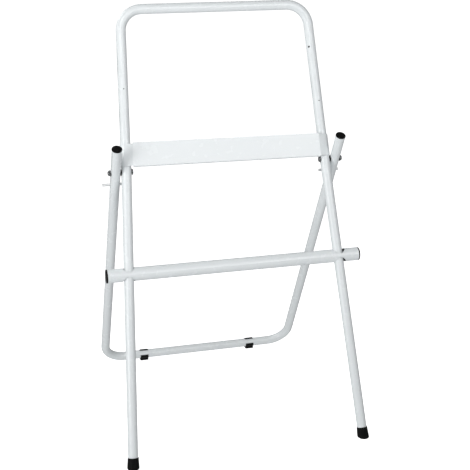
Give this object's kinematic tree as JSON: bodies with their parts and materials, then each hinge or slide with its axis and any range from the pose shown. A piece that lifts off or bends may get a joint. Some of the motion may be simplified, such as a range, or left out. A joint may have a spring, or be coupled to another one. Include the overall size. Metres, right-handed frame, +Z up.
{
  "type": "folding sawhorse",
  "caption": "Tall tubular sawhorse: a leaning hoop with a crossbar and sheet plate, and a U frame hinged behind it that folds flat.",
  "frame": {"origin": "middle of the open sawhorse's base, on the floor", "axes": "+X to the right as seen from the front, +Y to the back, towards the rear frame's feet, +Z up"},
  "size_m": [0.6578, 0.6542, 1.0825],
  "materials": {
    "white_coat": "satin powder coat",
    "black_rubber": "matte",
    "black_plastic": "satin",
    "zinc": "bright zinc plate",
    "zinc_pin": "pale zinc plate"
  },
  "bodies": {
    "front_frame": {"front_hoop": "white_coat", "crossbar": "white_coat", "cross_plate": "white_coat", "crossbar_plug_left": "black_plastic", "front_foot_left": "black_rubber", "pivot_bolt_left": "zinc", "pivot_nut_left": "zinc", "washer_inner_left": "zinc", "washer_outer_left": "zinc", "pivot_spacer_left": "black_plastic", "crossbar_plug_right": "black_plastic", "front_foot_right": "black_rubber", "pivot_bolt_right": "zinc", "pivot_nut_right": "zinc", "washer_inner_right": "zinc", "washer_outer_right": "zinc", "pivot_spacer_right": "black_plastic"},
    "rear_frame": {"rear_frame": "white_coat", "rear_plug_left": "black_plastic", "glide_left": "black_plastic", "rear_plug_right": "black_plastic", "glide_right": "black_plastic"},
    "lock_pin_left": {"lock_pin_left": "zinc_pin"},
    "lock_pin_right": {"lock_pin_right": "zinc_pin"}
  },
  "joints": [
    {"name": "fold", "type": "hinge", "parent": "front_frame", "child": "rear_frame", "pos_m": [0, -0.08944, 0.69], "axis": [-1, 0, 0], "range_deg": [0, 39.5]},
    {"name": "lock_pin_left_slide", "type": "slide", "parent": "rear_frame", "child": "lock_pin_left", "axis": [-1, 0, 0], "range_m": [0, 0.0105]},
    {"name": "lock_pin_right_slide", "type": "slide", "parent": "rear_frame", "child": "lock_pin_right", "axis": [1, 0, 0], "range_m": [0, 0.027]}
  ],
  "couplings": [
    {"joint": "lock_pin_left_slide", "follows": "fold", "m_per_rad": 0.0145},
    {"joint": "lock_pin_right_slide", "follows": "fold", "m_per_rad": 0.0385}
  ]
}
